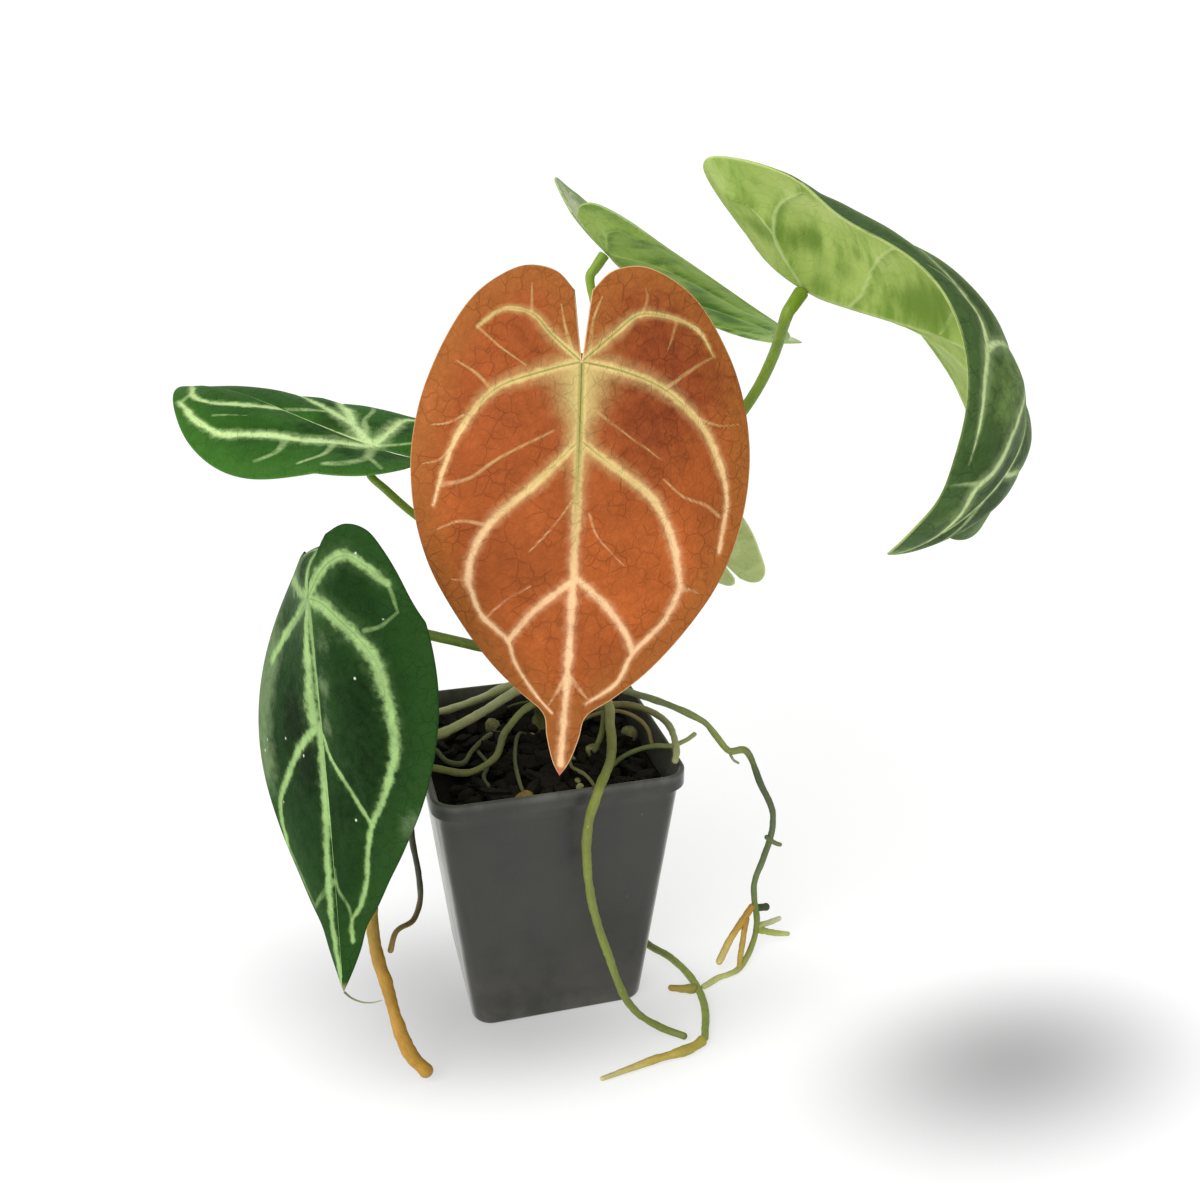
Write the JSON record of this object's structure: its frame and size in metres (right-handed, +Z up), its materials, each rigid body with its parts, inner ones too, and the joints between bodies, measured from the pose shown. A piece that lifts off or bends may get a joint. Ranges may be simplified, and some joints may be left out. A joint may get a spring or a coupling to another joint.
{
  "type": "potted house plant",
  "caption": "Aroid house plant with heart-shaped pale-veined leaves on thin stalks and loose aerial roots, in a small square tapered nursery pot.",
  "frame": {"origin": "centre of the pot's flat underside", "axes": "+Z up, -Y the front of the plant, where the largest upright leaf hangs, +X to the right seen from there"},
  "size_m": [0.2172, 0.1803, 0.2371],
  "materials": {
    "pot_plastic": "satin",
    "bark_mix": "matte",
    "stem_tissue": "satin",
    "root_tissue": "matte",
    "petiole_tissue": "satin",
    "blade_front_tissue": "satin",
    "blade_low_tissue": "satin",
    "blade_left_tissue": "satin",
    "blade_back_tissue": "satin",
    "blade_high_tissue": "satin",
    "blade_small_tissue": "satin"
  },
  "bodies": {
    "root": {"pot": "pot_plastic", "potting_mix": "bark_mix", "stem": "stem_tissue", "root_front": "root_tissue", "root_right": "root_tissue", "root_back": "root_tissue", "root_left_thick": "root_tissue", "root_left_thin": "root_tissue", "root_surface_left": "root_tissue", "root_surface_rim": "root_tissue", "root_surface_right": "root_tissue", "petiole_front": "petiole_tissue", "blade_front": "blade_front_tissue", "petiole_low": "petiole_tissue", "blade_low": "blade_low_tissue", "petiole_left": "petiole_tissue", "blade_left": "blade_left_tissue", "petiole_back": "petiole_tissue", "blade_back": "blade_back_tissue", "petiole_high": "petiole_tissue", "blade_high": "blade_high_tissue", "petiole_small": "petiole_tissue", "blade_small": "blade_small_tissue"}
  },
  "joints": []
}
